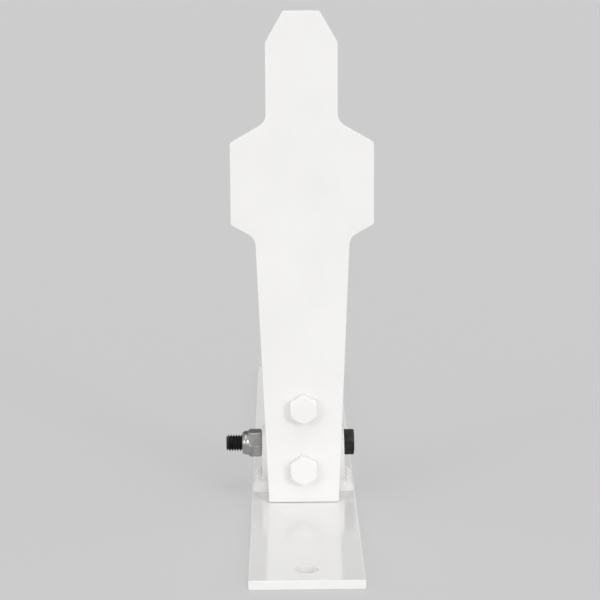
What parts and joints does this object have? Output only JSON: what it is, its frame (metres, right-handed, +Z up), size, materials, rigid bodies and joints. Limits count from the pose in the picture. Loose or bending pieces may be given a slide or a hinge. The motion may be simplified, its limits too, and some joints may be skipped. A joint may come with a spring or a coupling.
{
  "type": "reactive steel popper target",
  "caption": "Small free-standing steel knock-down target: a silhouette plate bolted to a hinge bracket that falls backwards between two ears on a long flat base bar.",
  "frame": {"origin": "centre of the base bar's flat underside, which rests on the ground", "axes": "+Z up, +Y towards the back, the way the plate falls, along the base bar; +X to the right as seen from the front"},
  "size_m": [0.1083, 0.6096, 0.3611],
  "materials": {
    "white_powder_coat": "gloss white powder coat",
    "black_oxide_steel": "black oxide, slightly oily",
    "zinc_plated_steel": "bright zinc plate",
    "nylon_insert": "natural nylon"
  },
  "bodies": {
    "base": {"base_plate": "white_powder_coat", "left_ear": "white_powder_coat", "right_ear": "white_powder_coat", "left_ear_weld": "white_powder_coat", "right_ear_weld": "white_powder_coat", "pivot_bolt": "black_oxide_steel", "pivot_lock_nut": "zinc_plated_steel", "pivot_nut_insert": "nylon_insert", "left_thrust_washer": "zinc_plated_steel", "right_thrust_washer": "zinc_plated_steel"},
    "target": {"target_plate": "white_powder_coat", "hinge_bracket": "white_powder_coat", "pivot_sleeve": "white_powder_coat", "left_sleeve_weld": "white_powder_coat", "right_sleeve_weld": "white_powder_coat", "lower_plate_bolt": "white_powder_coat", "upper_plate_bolt": "white_powder_coat", "lower_plate_washer": "white_powder_coat", "upper_plate_washer": "white_powder_coat", "lower_spring_washer": "white_powder_coat", "upper_spring_washer": "white_powder_coat", "lower_plate_nut": "white_powder_coat", "upper_plate_nut": "white_powder_coat"}
  },
  "joints": [
    {"name": "popper_fall", "type": "hinge", "parent": "base", "child": "target", "pos_m": [0, -0.074, 0.03565], "axis": [-1, 0, 0], "range_deg": [0, 103.6]}
  ]
}
